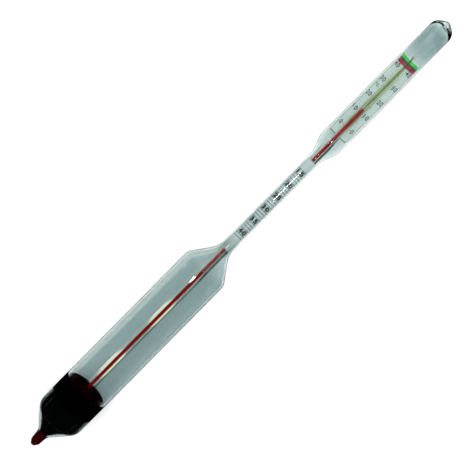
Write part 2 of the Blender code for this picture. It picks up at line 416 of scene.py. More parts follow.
def wearEffect(tree, shader, effect, bumpHeight):
    tree.links.new(effect.outputs["Color"], shader.inputs["Base Color"])
    tree.links.new(effect.outputs["Roughness"], shader.inputs["Roughness"])
    bump = addNode(tree, "Bump")
    bump.inputs["Strength"].default_value = 1.0
    bump.inputs["Distance"].default_value = bumpHeight * mm
    tree.links.new(effect.outputs["Height"], bump.inputs["Height"])
    tree.links.new(bump.outputs["Normal"], shader.inputs["Normal"])


def finishGlass(tree, shader, tint, values):
    effect = addEffect(tree, drawnGlass, Tint=tint, Streaks=values["streaks"], Smears=values["smears"])
    wearEffect(tree, shader, effect, values["ripple"])
    shader.inputs["Transmission Weight"].default_value = 1.0
    shader.inputs["IOR"].default_value = values["ior"]
    # lamps reach the papers inside: rays towards them pass the glass, tinted
    path = addNode(tree, "LightPath")
    clear = addNode(tree, "BsdfTransparent")
    feed(tree, values["lampTint"], clear.inputs["Color"])
    choice = addNode(tree, "MixShader")
    tree.links.new(path.outputs["Is Shadow Ray"], choice.inputs[0])
    tree.links.new(shader.outputs[0], choice.inputs[1])
    tree.links.new(clear.outputs[0], choice.inputs[2])
    tree.links.new(choice.outputs[0], tree.nodes["Material Output"].inputs["Surface"])


def zoneValue(tree, zone, first=0.0, last=1.0):
    # a value that changes along the instrument, between a zone's two stations
    return mapRange(tree, objectAxis(tree, "X"), at(zone[0]), at(zone[1]), first, last)


def ellipseMask(tree, station, halfLong, halfWide):
    # one inside a long oval on the axis, fading to nothing at its rim
    along = mathNode(tree, "SUBTRACT", objectAxis(tree, "X"), at(station))
    along = mathNode(tree, "DIVIDE", along, halfLong * mm)
    across = mathNode(tree, "DIVIDE", objectAxis(tree, "Y"), halfWide * mm)
    return mapRange(tree, sumSquares(tree, along, across), 0.8, 1.1, 1.0, 0.0)


def mottledLook(name, light, dark, scale, smooth, rough, bumpHeight, coat=0.0):
    look, tree, shader = newLook(name)
    effect = addEffect(tree, mottle, Light=light, Dark=dark, Scale=scale, Smooth=smooth, Rough=rough)
    wearEffect(tree, shader, effect, bumpHeight)
    shader.inputs["Coat Weight"].default_value = coat
    shader.inputs["Coat Roughness"].default_value = 0.05
    return look, tree, shader


# glass envelope: body, stem and head blown as one

envelopeSet = {
    "sides": 128, "length": 290.0, "ringStep": 4.0,
    "bodyRadius": 12.45, "stemRadius": 3.25, "headRadius": 6.4,
    "bodyWall": 1.1, "coneWall": 0.75, "stemWall": 0.4, "headWall": 0.5,
    "collar": 7.4, "collarInside": 3.0, "collarOutside": 3.12, "coneFoot": 3.55,
    "cone": (8.3, 19.1), "shoulder": (120.9, 133.4), "taper": (197.8, 206.3),
    "domeCorner": 285.9, "domeTip": 289.65, "domeTipRadius": 1.2,
    "hollowEnd": (284.8, 287.6, 288.1), "hollowTipRadius": 1.3,
    "sag": 0.35, "sagAt": 203.0, "sagSpread": 5.0,
    # the head's end is uneven inside; each wave has its lobes, twist and strength
    "swirlFrom": 272.0, "swirlDepth": 0.028, "swirlRipple": 0.032, "outerSkin": 0.2,
    "waves": ((2, 9.0, 1.0), (5, -14.0, 0.5)),
}
blownGlassSet = {
    # across the body, from one flank to the other: painted light and shade, darker at the flanks, with a
    # painted pale band of light near the last one
    "bodyLightAndShade": ((0.0, (0.36, 0.44, 0.435)), (0.1, (0.51, 0.60, 0.60)), (0.3, (0.55, 0.64, 0.64)),
                  (0.6, (0.60, 0.69, 0.685)), (0.80, (0.57, 0.67, 0.67)), (0.832, (0.49, 0.59, 0.59)),
                  (0.843, (0.635, 0.715, 0.70)), (0.945, (0.635, 0.715, 0.70)),
                  (0.965, (0.53, 0.61, 0.60))),
    "bodyEnd": (130.0, 137.0), "shoulderFrom": 120.0, "shoulderBend": 0.65,
    # along the stem and the head, by station
    "tints": ((136.0, (0.52, 0.61, 0.57)), (142.0, (0.80, 0.88, 0.87)), (195.0, (0.80, 0.88, 0.87)),
              (208.0, (0.74, 0.81, 0.80)), (262.0, (0.74, 0.81, 0.80)), (272.0, (0.49, 0.585, 0.58)),
              (283.0, (0.49, 0.585, 0.58)), (287.0, (0.40, 0.49, 0.47))),
    "twistZone": (274.0, 283.0), "twistAt": 284.0, "twistStretch": 0.45, "twistLightAndShade": (0.6, 1.5),
    "curls": {"Scale": 45.0, "Distortion": 9.0, "Detail": 2.0, "Detail Scale": 1.2},
    "streaks": 0.05, "smears": 0.02, "ripple": 0.0015, "ior": 1.5, "lampTint": (0.98, 0.99, 0.99),
}


def wallLine(station, radius, slope, wall):
    # the inner line of a straight cone wall
    drop = wall * math.hypot(1, slope)
    return lambda level: station + (level - radius + drop) / slope


def coneSlope(values):
    coneStart, coneEnd = values["cone"]
    return (values["bodyRadius"] - values["coneFoot"]) / (coneEnd - coneStart)


def envelopeOutline(values):
    # outside from the head's tip down to the collar, then inside and up again
    body, stem, head = values["bodyRadius"], values["stemRadius"], values["headRadius"]
    bodyIn, stemIn, headIn = body - values["bodyWall"], stem - values["stemWall"], head - values["headWall"]
    coneStart, coneEnd = values["cone"]
    shoulderStart, shoulderEnd = values["shoulder"]
    taperStart, taperEnd = values["taper"]
    collarIn = values["collarInside"]
    outer = easeCorners([
        (values["length"], 0, 0),
        (values["domeTip"], values["domeTipRadius"], 1.1),
        (values["domeCorner"], head - 0.1, 5.6),
        (taperEnd + 8, head, 40.0),
        (taperEnd, head + 0.15, 8.0),
        (taperStart, stem, 12.0),
        (shoulderEnd, stem, 13.0),
        (shoulderStart, body, 6.0),
        (coneEnd, body, 7.0),
        (coneStart, values["coneFoot"], 2.0),
        (values["collar"], values["collarOutside"], 0),
    ])
    coneAt = wallLine(coneEnd, body, coneSlope(values), values["coneWall"])
    shoulderSlope = (stem - body) / (shoulderEnd - shoulderStart)
    shoulderAt = wallLine(shoulderStart, body, shoulderSlope, values["bodyWall"])
    taperAt = wallLine(taperStart, stem, (head - stem) / (taperEnd - taperStart), values["headWall"])
    hollowNear, hollowMid, hollowFar = values["hollowEnd"]
    inner = easeCorners([
        (values["collar"], collarIn, 0),
        (coneAt(collarIn), collarIn, 1.0),
        (coneAt(bodyIn), bodyIn, 6.0),
        (shoulderAt(bodyIn), bodyIn, 5.0),
        (shoulderAt(stemIn), stemIn, 12.0),
        (taperAt(stemIn), stemIn, 11.0),
        (taperAt(headIn), headIn, 7.0),
        (hollowNear, headIn, 4.6),
        (hollowMid, values["hollowTipRadius"], 1.2),
        (hollowFar, 0, 0),
    ])
    return splitRuns(outer, values["ringStep"]), splitRuns(inner, values["ringStep"])


def radiusAt(outline, station):
    ordered = sorted(outline)
    for (s0, r0), (s1, r1) in zip(ordered, ordered[1:]):
        if s0 <= station <= s1 and s1 > s0:
            return r0 + (r1 - r0) * (station - s0) / (s1 - s0)
    return ordered[-1][1]


def workByHand(envelope, outer, values):
    # what the flame leaves: the head's foot sags to one side, the end is twisted off
    for vertex in envelope.data.vertices:
        station = stationOf(vertex.co.x)
        across, height = vertex.co.y, vertex.co.z - axisZ
        around = math.atan2(-across, height)
        inside = math.hypot(across, height) / mm < radiusAt(outer, station) - values["outerSkin"]
        if inside and station > values["swirlFrom"]:
            past = (station - values["swirlFrom"]) / (values["length"] - values["swirlFrom"])
            ripple = sum(strength * math.sin(lobes * around + twist * past)
                         for lobes, twist, strength in values["waves"])
            change = 1 - past ** 1.5 * (values["swirlDepth"] + values["swirlRipple"] * ripple)
            vertex.co.y = across * change
            vertex.co.z = axisZ + height * change
        nearness = math.exp(-((station - values["sagAt"]) / values["sagSpread"]) ** 2)
        vertex.co.y -= values["sag"] * nearness * mm


def makeBlownGlass(values, bodyRadius, length):
    look, tree, shader = newLook("blownGlass")
    along = mapRange(tree, objectAxis(tree, "X"), at(0), at(length))
    zones = rampColours(tree, along, [(station / length, tint) for station, tint in values["tints"]])
    # the body's bands of painted light and shade (the streaks below) keep along its flank, and follow the
    # shoulder in
    past = mathNode(tree, "SUBTRACT", objectAxis(tree, "X"), at(values["shoulderFrom"]))
    bent = mathNode(tree, "MULTIPLY", mathNode(tree, "MAXIMUM", past, 0.0), values["shoulderBend"])
    across = mathNode(tree, "ADD", objectAxis(tree, "Y"), bent)
    flank = mapRange(tree, across, -bodyRadius * mm, bodyRadius * mm)
    streaks = rampColours(tree, flank, values["bodyLightAndShade"])
    tint = mixColours(tree, zoneValue(tree, values["bodyEnd"]), streaks, zones)
    # curls of thicker and thinner glass where the head was sealed off, painted lighter and darker too:
    # partly painted highlight and shade
    curls = addNode(tree, "TexWave", wave_type="RINGS", rings_direction="X")
    for label, value in values["curls"].items():
        curls.inputs[label].default_value = value
    drawn = mappedPlace(tree, (-at(values["twistAt"]), 0.0, -axisZ), (values["twistStretch"], 1.0, 1.0))
    tree.links.new(drawn, curls.inputs["Vector"])
    twist = greyOf(tree, mapRange(tree, curls.outputs["Fac"], 0.0, 1.0, *values["twistLightAndShade"]))
    twisted = mixColours(tree, 1.0, tint, twist, "MULTIPLY")
    tint = mixColours(tree, zoneValue(tree, values["twistZone"]), tint, twisted)
    finishGlass(tree, shader, tint, values)
    return look


blownGlass = makeBlownGlass(blownGlassSet, envelopeSet["bodyRadius"], envelopeSet["length"])
outerLine, innerLine = envelopeOutline(envelopeSet)
envelope = pullRings("glassEnvelope", outerLine + innerLine, envelopeSet["sides"])
finishPiece(envelope, blownGlass, "hydrometer", "body_glass", "stem_glass", "head_glass")
workByHand(envelope, outerLine, envelopeSet)
print("glass envelope blown")

# thermometer: bulb, capillary, enamel and spirit

thermometerSet = {
    "sides": 64, "ringStep": 5.0, "tipRadius": 2.98, "tipEnd": 7.6, "bulbWall": 0.55,
    "neck": (29.5, 33.0, 34.7),
    "tubeRadius": 2.45, "boreRadius": 0.54,
    "slimFrom": 205.0, "slimTo": 215.0, "slimRadius": 1.42,
    "drawnFrom": 250.0, "drawnTo": 258.2, "drawnRadius": 0.9,
    "boreEnd": 259.7, "tailEnd": 267.2, "tailRadius": 0.42,
    "hookFrom": 260.9, "hook": 0.02,
}
tubeGlassSet = {
    "tint": (0.95, 0.98, 0.96),
    # a painted dark streak of shade along one flank, in shares of the tube's radius, broader past the
    # shoulder
    "shadeStreakTint": (0.012, 0.035, 0.022), "shadeStreakFlank": (-0.68, -0.78), "shadeStreakBroad": 0.26,
    "broadZone": (112.0, 121.0), "shadeStreakEnd": (211.0, 213.0),
    # the empty bore picks up the card's yellow
    "yellowPlace": (247.5, 18.0, 0.75), "yellowTint": (0.68, 0.74, 0.34),
    "streaks": 0.06, "smears": 0.01, "ripple": 0.003, "ior": 1.48, "lampTint": (0.97, 0.985, 0.98),
}


def bulbCorners(values, inset):
    # an inset line keeps the wall's thickness from the outer one, and opens into the bore
    neckNear, neckFar, neckEnd = values["neck"]
    neckRadius = values["tubeRadius"] if inset == 0 else values["boreRadius"]
    side = values["tipRadius"] - inset
    return easeCorners([
        (inset, 0, 0),
        (inset, 1.0 - 0.54 * inset, 0.75 - 0.8 * inset),
        (2.2 + 0.34 * inset, side - 0.5, 3.0 - inset),
        (values["tipEnd"], side, 0),
        (neckNear, side, 1.5),
        (neckFar, neckRadius, 1.0),
        (neckEnd, neckRadius, 0),
    ], 8.0)


def makeTubeGlass(values, radius):
    look, tree, shader = newLook("capillaryGlass")
    # painted shade: a dark streak down the tube's flank, fading out where the card lies behind it
    broad = mathNode(tree, "MULTIPLY", zoneValue(tree, values["broadZone"]),
                     values["shadeStreakBroad"] * radius * mm)
    across = mathNode(tree, "SUBTRACT", objectAxis(tree, "Y"), broad)
    near, far = values["shadeStreakFlank"]
    flank = mapRange(tree, across, near * radius * mm, far * radius * mm)
    green = mathNode(tree, "MULTIPLY", flank, zoneValue(tree, values["shadeStreakEnd"], 1.0, 0.0))
    tint = mixColours(tree, green, values["tint"], values["shadeStreakTint"])
    yellow = ellipseMask(tree, *values["yellowPlace"])
    tint = mixColours(tree, yellow, tint, values["yellowTint"])
    finishGlass(tree, shader, tint, values)
    return look


tubeGlass = makeTubeGlass(tubeGlassSet, thermometerSet["tubeRadius"])


def makeBulb(values):
    outer, inner = bulbCorners(values, 0), bulbCorners(values, values["bulbWall"])
    bulb = pullRings("thermometerBulb", outer + inner[::-1], values["sides"])
    finishPiece(bulb, tubeGlass, "hydrometer", "thermometer_bulb")


def makeCapillary(values):
    radius, bore = values["tubeRadius"], values["boreRadius"]
    start = values["neck"][2]
    boreEnd, tailEnd = values["boreEnd"], values["tailEnd"]
    outer = easeCorners([
        (start, radius, 0),
        (values["slimFrom"], radius, 20.0),
        (values["slimTo"], values["slimRadius"], 20.0),
        (values["drawnFrom"], values["slimRadius"], 20.0),
        (values["drawnTo"], values["drawnRadius"], 4.0),
        (boreEnd + 0.9, values["tailRadius"], 2.0),
        (tailEnd - 0.3, values["tailRadius"] - 0.05, 0.3),
        (tailEnd, 0, 0),
    ])
    inner = [(start, bore), (boreEnd - 0.4, bore), (boreEnd, bore * 0.6), (boreEnd + 0.3, 0)]
    outline = splitRuns(outer, values["ringStep"])[::-1] + splitRuns(inner, values["ringStep"])
    tube = pullRings("capillaryTube", outline, values["sides"])
    finishPiece(tube, tubeGlass, "hydrometer", "capillary_tube")
    for vertex in tube.data.vertices:
        vertex.co.y += tailBend(stationOf(vertex.co.x))


def tailBend(station):
    # the drawn-out tail hooks over to one side
    past = max(0.0, station - thermometerSet["hookFrom"])
    return thermometerSet["hook"] * past ** 2 * mm


makeBulb(thermometerSet)
makeCapillary(thermometerSet)


enamelSet = {
    "start": 41.9, "short": 0.5, "thickness": 0.15, "hollow": 0.1, "cuts": (120, 10),
    "half": 0.78, "depth": 1.8,
    # behind the card's part of the tube it is narrower and nearer the bore, then drawn thinner
    "cardZone": (212.0, 224.0), "cardHalf": 0.52, "cardDepth": 0.7,
    "drawnZone": (231.0, 251.0), "drawnBy": 0.17,
    "closeZone": (259.8, 260.6), "closeHalf": 0.2, "closeDepth": -0.1,
    "light": (0.86, 0.94, 0.91), "dark": (0.76, 0.85, 0.81),
    # two pale ovals, where the studio lamps shine back from the enamel
    "palePlaces": ((55.4, 10.4), (90.2, 10.4)), "paleHalf": 0.95,
    "paleTint": (1.0, 0.98, 0.80), "paleGlow": (1.0, 0.97, 0.80), "paleShine": 0.6,
    "olive": (0.33, 0.30, 0.015),
    # a dark line down the middle behind the card: the bore's painted shadow on the enamel
    "boreShadowLine": (255.0, 34.0, 0.17), "boreShadowTint": (0.03, 0.05, 0.01),
    "tailZone": (257.0, 260.0), "tailTint": (0.02, 0.035, 0.015),
    "tipZone": (265.6, 266.0), "tipTint": (0.62, 0.55, 0.06),
}


def shapeEnamel(strip, values, end):
    for vertex in strip.data.vertices:
        station = values["start"] + (end - values["start"]) * (vertex.co.x + 0.5)
        atCard = shareOf(station, values["cardZone"])
        close = shareOf(station, values["closeZone"])
        half = blend(values["half"], values["cardHalf"], atCard)
        half -= values["drawnBy"] * shareOf(station, values["drawnZone"]) ** 0.7
        half = blend(half, values["closeHalf"], close)
        depth = blend(values["depth"], values["cardDepth"], atCard)
        depth = blend(depth, values["closeDepth"], close)
        side = vertex.co.y * 2
        vertex.co.x = at(station)
        vertex.co.y = side * half * mm + tailBend(station)
        vertex.co.z = axisZ - (depth - values["hollow"] * side ** 2 * half) * mm


def makeEnamelLook(values):
    look, tree, shader = mottledLook("yellowEnamel", values["light"], values["dark"],
                                     220.0, 0.12, 0.25, 0.004, coat=0.4)
    colour = shader.inputs["Base Color"].links[0].from_socket
    shine = (0.0, 0.0, 0.0)
    for station, halfLong in values["palePlaces"]:
        pale = ellipseMask(tree, station, halfLong, values["paleHalf"])
        colour = mixColours(tree, pale, colour, values["paleTint"])
        shine = mixColours(tree, pale, shine, values["paleGlow"])
    tree.links.new(shine, shader.inputs["Emission Color"])
    shader.inputs["Emission Strength"].default_value = values["paleShine"]
    atCard = zoneValue(tree, values["cardZone"])
    colour = mixColours(tree, atCard, colour, values["olive"])
    # the bore's painted shadow, behind the card
    line = mathNode(tree, "MULTIPLY", ellipseMask(tree, *values["boreShadowLine"]), atCard)
    colour = mixColours(tree, line, colour, values["boreShadowTint"])
    colour = mixColours(tree, zoneValue(tree, values["tailZone"]), colour, values["tailTint"])
    colour = mixColours(tree, zoneValue(tree, values["tipZone"]), colour, values["tipTint"])
    tree.links.new(colour, shader.inputs["Base Color"])
    return look


def makeEnamel(values, tubeEnd):
    leaveSelection()
    cutsAlong, cutsAcross = values["cuts"]
    bpy.ops.mesh.primitive_grid_add(x_subdivisions=cutsAlong, y_subdivisions=cutsAcross, size=1)
    strip = bpy.context.object
    strip.name = "enamelStrip"
    shapeEnamel(strip, values, tubeEnd - values["short"])
    thicken(strip, values["thickness"], -1.0)
    finishPiece(strip, makeEnamelLook(values), "hydrometer", "enamel_backing")


makeEnamel(enamelSet, thermometerSet["tailEnd"])

spiritSet = {
    "sides": 48, "ringStep": 6.0, "radius": 0.56, "wets": 0.02,
    "light": (0.38, 0.004, 0.003), "dark": (0.30, 0.003, 0.002),
    # nearly black in the bulb, and darker still along its far flank, where the shade is painted
    "bulbZone": (8.0, 34.0), "bulbShare": 0.965, "bulbTint": (0.022, 0.001, 0.001),
    "flank": (0.6, 1.9), "flankShadeTint": (0.012, 0.001, 0.001),
}


def makeSpiritLook(values):
    look, tree, shader = mottledLook("redSpirit", values["light"], values["dark"],
                                     90.0, 0.08, 0.16, 0.0, coat=0.3)
    colour = shader.inputs["Base Color"].links[0].from_socket
    bulb = zoneValue(tree, values["bulbZone"], values["bulbShare"], 0.0)
    colour = mixColours(tree, bulb, colour, values["bulbTint"])
    # painted shade on the reservoir's far flank
    near, far = values["flank"]
    flank = mapRange(tree, objectAxis(tree, "Y"), near * mm, far * mm)
    colour = mixColours(tree, flank, colour, values["flankShadeTint"])
    tree.links.new(colour, shader.inputs["Base Color"])
    return look


redSpirit = makeSpiritLook(spiritSet)


def makeSpirit(values, tubeValues):
    radius, sides, ringStep = values["radius"], values["sides"], values["ringStep"]
    feedEnd = endsOf("spirit_reservoir")[1]
    reservoir = bulbCorners(tubeValues, tubeValues["bulbWall"] - values["wets"])
    outline = [point for point in reservoir if point[0] < tubeValues["neck"][1]]
    outline += [(tubeValues["neck"][2] - 0.5, radius), (feedEnd, radius), (feedEnd, 0)]
    fill = pullRings("spiritReservoir", splitRuns(outline, ringStep), sides)
    finishPiece(fill, redSpirit, "hydrometer", "spirit_reservoir")
    bottom, top = endsOf("spirit_thread")
    outline = [(bottom, 0), (bottom, radius), (top - 0.25, radius), (top - 0.08, radius * 0.85),
               (top, radius * 0.5), (top, 0)]
    thread = pullRings("spiritThread", splitRuns(outline, ringStep), sides)
    finishPiece(thread, redSpirit, "spirit_column", "spirit_thread")


makeSpirit(spiritSet, thermometerSet)
print("thermometer filled")

# ballast: pitch, wax and shot

ballastSet = {
    "sides": 96, "ringStep": 1.5, "hole": 3.0, "pitchTop": 27.7, "gap": 0.25,
    "pocketWall": 1.0, "pocketLift": 0.35, "pocketTop": 25.9,
    "pitchLight": (0.002, 0.003, 0.003), "pitchDark": (0.001, 0.001, 0.001),
    "waxTop": 37.2, "waxLift": 0.05, "wettedBy": 0.03, "neck": (29.6, 33.3), "neckHole": 3.02,
    # how high the wax climbs the tube and the wall, and over what breadth
    "climb": 3.3, "climbBreadth": 0.5, "rimClimb": 1.1, "rimBreadth": 1.2, "climbSteps": 24,
    "waxLight": (0.019, 0.0025, 0.0010), "waxDark": (0.005, 0.0005, 0.0004),
    "waxEdge": (0.001, 0.0005, 0.0005), "edgeWidth": 0.1, "faceZone": (36.7, 37.1),
    "shotLight": (0.16, 0.16, 0.15), "shotDark": (0.06, 0.06, 0.06),
}


def makePitch(values, envelopeValues):
    body, coneEnd = envelopeValues["bodyRadius"], envelopeValues["cone"][1]
    slope = coneSlope(envelopeValues)
    wall = envelopeValues["coneWall"] + values["gap"]
    skin = wallLine(coneEnd, body, slope, wall)
    pocket = wallLine(coneEnd, body, slope, wall + values["pocketLift"] + values["pocketWall"])
    radius = body - envelopeValues["bodyWall"] - values["gap"]
    pocketRadius = radius - values["pocketWall"]
    hole = values["hole"]
    outer = easeCorners([
        (skin(hole), hole, 0), (skin(radius), radius, 6.0),
        (values["pitchTop"], radius, 0.3), (values["pitchTop"], hole, 0)])
    inner = easeCorners([
        (values["pocketTop"], hole, 0), (values["pocketTop"], pocketRadius, 0.6),
        (pocket(pocketRadius), pocketRadius, 2.0), (pocket(hole), hole, 0)])
    pitch = pullRings("ballastPitch", splitRuns(outer, values["ringStep"]) + inner, values["sides"])
    look, _, shader = mottledLook("blackPitch", values["pitchLight"], values["pitchDark"],
                                  260.0, 0.35, 0.5, 0.08)
    shader.inputs["Specular IOR Level"].default_value = 0.0
    finishPiece(pitch, look, "hydrometer", "ballast_pitch")


def makeWaxLook(values, radius):
    look, tree, shader = mottledLook("darkRedWax", values["waxLight"], values["waxDark"],
                                     180.0, 0.3, 0.5, 0.08)
    # only the open face shows its red; against the glass it looks black
    colour = shader.inputs["Base Color"].links[0].from_socket
    height = mathNode(tree, "SUBTRACT", objectAxis(tree, "Z"), axisZ)
    reach = sumSquares(tree, objectAxis(tree, "Y"), height)
    inside = mathNode(tree, "LESS_THAN", reach, ((radius - values["edgeWidth"]) * mm) ** 2)
    openFace = mathNode(tree, "MULTIPLY", inside, zoneValue(tree, values["faceZone"]))
    tree.links.new(mixColours(tree, openFace, values["waxEdge"], colour), shader.inputs["Base Color"])
    shader.inputs["Specular IOR Level"].default_value = 0.0
    return look


def makeWax(values, envelopeValues, tubeRadius):
    radius = envelopeValues["bodyRadius"] - envelopeValues["bodyWall"] + values["wettedBy"]
    tube = tubeRadius + values["wettedBy"]
    foot, top, neckHole = values["pitchTop"] + values["waxLift"], values["waxTop"], values["neckHole"]
    outline = [(foot, neckHole), (foot, radius), (top + values["rimClimb"], radius)]
    for step in range(1, values["climbSteps"]):
        level = blend(radius, tube, step / values["climbSteps"])
        rise = (values["rimClimb"] * math.exp(-(radius - level) / values["rimBreadth"])
                + values["climb"] * math.exp(-(level - tube) / values["climbBreadth"]))
        outline.append((top + rise, level))
    neckNear, neckFar = values["neck"]
    outline += [(top + values["climb"], tube), (neckFar, tube), (neckNear, neckHole)]
    wax = pullRings("sealingWax", outline, values["sides"])
    finishPiece(wax, makeWaxLook(values, radius), "hydrometer", "sealing_wax")


def paintShot(values):
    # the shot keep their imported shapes
    look, _, shader = mottledLook("castShot", values["shotLight"], values["shotDark"],
                                  900.0, 0.35, 0.6, 0.05)
    shader.inputs["Metallic"].default_value = 1.0
    for name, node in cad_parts.items():
        if name.startswith("ballast_shot"):
            node.data.materials.clear()
            node.data.materials.append(look)


makePitch(ballastSet, envelopeSet)
makeWax(ballastSet, envelopeSet, thermometerSet["tubeRadius"])
paintShot(ballastSet)
print("ballast poured")

# papers: the rolled density scale and the slightly bowed temperature card

rollSet = {
    "radius": 2.78, "overlap": 0.9, "tuck": 0.11, "tuckFrom": 2.6, "thickness": 0.09,
    "cuts": (40, 120), "paper": (0.61, 0.67, 0.67), "stain": (0.55, 0.61, 0.60),
}
cardSet = {
    "radius": 20.0, "back": 2.7, "halfWidth": 5.45, "thickness": 0.14,
    "cuts": (60, 30), "paper": (0.69, 0.78, 0.74), "stain": (0.62, 0.71, 0.66),
}


def rollPlace(x, across, height):
    # the roll's print faces up; past half a turn the sheet winds under itself
    angle = across / rollSet["radius"]
    radius = rollSet["radius"] + height - rollSet["tuck"] * max(0.0, angle - rollSet["tuckFrom"])
    return (x, radius * math.sin(angle) * mm, axisZ + radius * math.cos(angle) * mm)


def cardPlace(x, across, height):
    # the card bows down in its middle, behind the capillary
    radius = cardSet["radius"]
    angle = across / radius
    centre = radius - cardSet["back"]
    reach = radius - height
    return (x, reach * math.sin(angle) * mm, axisZ + (centre - reach * math.cos(angle)) * mm)


def wrapOn(piece, place):
    # flat work in millimetres (y across, z off the paper) goes on to the bent sheet
    for vertex in piece.data.vertices:
        vertex.co = place(vertex.co.x, vertex.co.y / mm, vertex.co.z / mm)


def layFlatSheet(name, ends, halfWidth, cutsAlong, cutsAcross):
    leaveSelection()
    bpy.ops.mesh.primitive_grid_add(x_subdivisions=cutsAlong, y_subdivisions=cutsAcross, size=1)
    sheet = bpy.context.object
    sheet.name = name
    for vertex in sheet.data.vertices:
        vertex.co.x = at(ends[0] + (ends[1] - ends[0]) * (vertex.co.x + 0.5))
        vertex.co.y *= 2 * halfWidth * mm
    return sheet


def makePaper(name, lookName, node, halfWidth, place, values):
    sheet = layFlatSheet(name, endsOf(node), halfWidth, *values["cuts"])
    wrapOn(sheet, place)
    thicken(sheet, values["thickness"], -1.0)
    look, tree, shader = newLook(lookName)
    effect = addEffect(tree, paperFibre, Paper=values["paper"], Stain=values["stain"])
    wearEffect(tree, shader, effect, 0.02)
    finishPiece(sheet, look, "hydrometer", node)


rollHalf = rollSet["radius"] * (math.pi + rollSet["overlap"] / 2)
makePaper("densityScale", "rollPaper", "density_scale", rollHalf, rollPlace, rollSet)
makePaper("temperatureScale", "cardPaper", "temperature_scale", cardSet["halfWidth"], cardPlace, cardSet)

bandSet = {
    "halfWidth": 5.55, "lift": 0.12, "thickness": 0.1, "cuts": (6, 30),
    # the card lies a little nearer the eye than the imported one, so its work sits back
    "back": {"red_band": (0.5, 0.85), "green_band": (0.65, 0.65)},
    "paints": {"red_band": ((0.35, 0.0, 0.035), (0.22, 0.0, 0.015)),
               "green_band": ((0.01, 0.62, 0.07), (0.005, 0.45, 0.04))},
    # a dark line between the bands: painted shade in their gap
    "lineAt": 262.5, "lineWidth": 0.7, "lineLift": 0.14,
}


def makeBand(name, node, values):
    ends = [end - back for end, back in zip(endsOf(node), values["back"][node])]
    band = layFlatSheet(name, ends, values["halfWidth"], *values["cuts"])
    for vertex in band.data.vertices:
        vertex.co.z = values["lift"] * mm
    wrapOn(band, cardPlace)
    thicken(band, values["thickness"], -1.0)
    look = mottledLook(name + "Paint", *values["paints"][node], 600.0, 0.35, 0.6, 0.03)[0]
    finishPiece(band, look, "hydrometer", node)


makeBand("redBand", "red_band", bandSet)
makeBand("greenBand", "green_band", bandSet)
print("papers rolled")

# print: marks and numbers

densityPrint = {
    "forty": 146.2, "fifteen": 186.3, "low": 14, "high": 42,
    "lineWidth": 0.27, "lineHalf": 4.2, "edgeFrom": 2.5,
    "numberHigh": 2.5, "numberWide": 4.3, "bold": 0.22,
    "lift": 0.012, "film": 0.01,
}
temperaturePrint = {
    "zero": 219.05, "forty": 258.6, "low": -2, "high": 42,
    "lineWidth": 0.22, "inner": 1.45, "short": 2.15, "middle": 2.45, "long": 2.75,
    "numberHigh": 2.6, "numberWide": 2.9, "zeroWide": 1.363, "numberAt": 3.9, "bold": 0.1,
    "signAt": 244.5, "signHigh": 1.7, "signWide": 2.0,
    # dark lines of painted shade along the card's long edges and across its foot
    "edgeShadeWidth": 0.16, "rimIn": 0.15, "endIn": 0.3, "foot": 0.45, "footIn": 0.4,
    "lift": 0.012, "film": 0.01,
}
cutStep = 0.3        # flat work is cut this fine before it is bent
textSize = 1.4       # a font's size for each unit of its numerals' height
textSpacing = 1.2


def drawLine(station, start, end, width):
    leaveSelection()
    cuts = max(2, math.ceil(abs(end - start) / cutStep))
    bpy.ops.mesh.primitive_grid_add(x_subdivisions=1, y_subdivisions=cuts, size=1)
    line = bpy.context.object
    for vertex in line.data.vertices:
        vertex.co.x = at(station) + vertex.co.x * width * mm
        vertex.co.y = (start + (end - start) * (vertex.co.y + 0.5)) * mm
    return line


def drawEdge(start, end, across, width):
    edge = layFlatSheet("edge", (start, end), width / 2, 60, 1)
    for vertex in edge.data.vertices:
        vertex.co.y += across * mm
    return edge


def writeText(words, station, across, high, wide, bold):
    # the text's top points at the head, so it reads upright on a floating instrument
    leaveSelection()
    bpy.ops.object.text_add(rotation=(0, 0, -math.pi / 2))
    text = bpy.context.object
    text.data.body = words
    text.data.size = high * textSize * mm
    text.data.offset = bold * mm
    text.data.space_character = textSpacing
    bpy.ops.object.convert(target="MESH")
    bpy.ops.object.transform_apply(location=True, rotation=True, scale=True)
    text = bpy.context.object
    rises = [vertex.co.x for vertex in text.data.vertices]
    spreads = [vertex.co.y for vertex in text.data.vertices]
    for vertex in text.data.vertices:
        rise = (vertex.co.x - min(rises)) / (max(rises) - min(rises)) - 0.5
        spread = (vertex.co.y - min(spreads)) / (max(spreads) - min(spreads)) - 0.5
        vertex.co.x = at(station) + rise * high * mm
        vertex.co.y = (across + spread * wide) * mm
    bpy.ops.object.mode_set(mode="EDIT")
    cut = across - wide / 2 + cutStep
    while cut < across + wide / 2:
        bpy.ops.mesh.select_all(action="SELECT")
        bpy.ops.mesh.bisect(plane_co=(0, cut * mm, 0), plane_no=(0, 1, 0))
        cut += cutStep
    bpy.ops.object.mode_set(mode="OBJECT")
    return text


printInk = mottledLook("printInk", (0.010, 0.014, 0.013), (0.004, 0.006, 0.005),
                       1500.0, 0.4, 0.7, 0.0)[0]


def printOn(pieces, name, place, values):
    artwork = joinPieces(pieces, name)
    for vertex in artwork.data.vertices:
        vertex.co.z = values["lift"] * mm
    wrapOn(artwork, place)
    thicken(artwork, values["film"], 0.0)
    finishPiece(artwork, printInk, "hydrometer", sharp=60.0)


